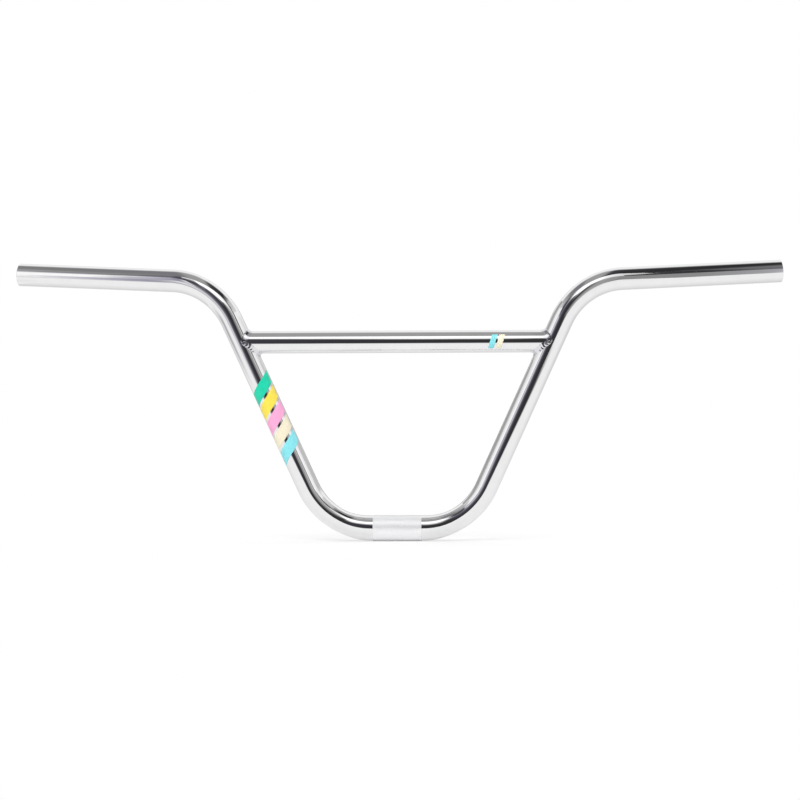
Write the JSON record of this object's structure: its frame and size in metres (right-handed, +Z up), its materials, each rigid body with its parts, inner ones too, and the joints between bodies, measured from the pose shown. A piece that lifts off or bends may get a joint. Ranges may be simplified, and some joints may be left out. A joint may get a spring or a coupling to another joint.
{
  "type": "bmx handlebar",
  "caption": "Bent chrome-plated steel tube handlebar with a knurled clamp section, rising legs, swept-back open grip ends and a welded crossbar, for a stunt bicycle.",
  "frame": {"origin": "middle of the clamp section, on its axis", "axes": "+X along the clamp to the rider's left, -Y forward, +Z up in the plane of the legs"},
  "size_m": [0.7618, 0.0657, 0.2757],
  "materials": {
    "chrome_plating": "mirror polished chrome plate on steel",
    "plated_weld": "rippled weld bead under the same plate",
    "knurled_steel": "satin knurl under the plate",
    "decal_film": "thin printed vinyl film"
  },
  "bodies": {
    "root": {"handlebar_tube": "chrome_plating", "crossbar": "chrome_plating", "crossbar_welds": "plated_weld"}
  },
  "joints": []
}
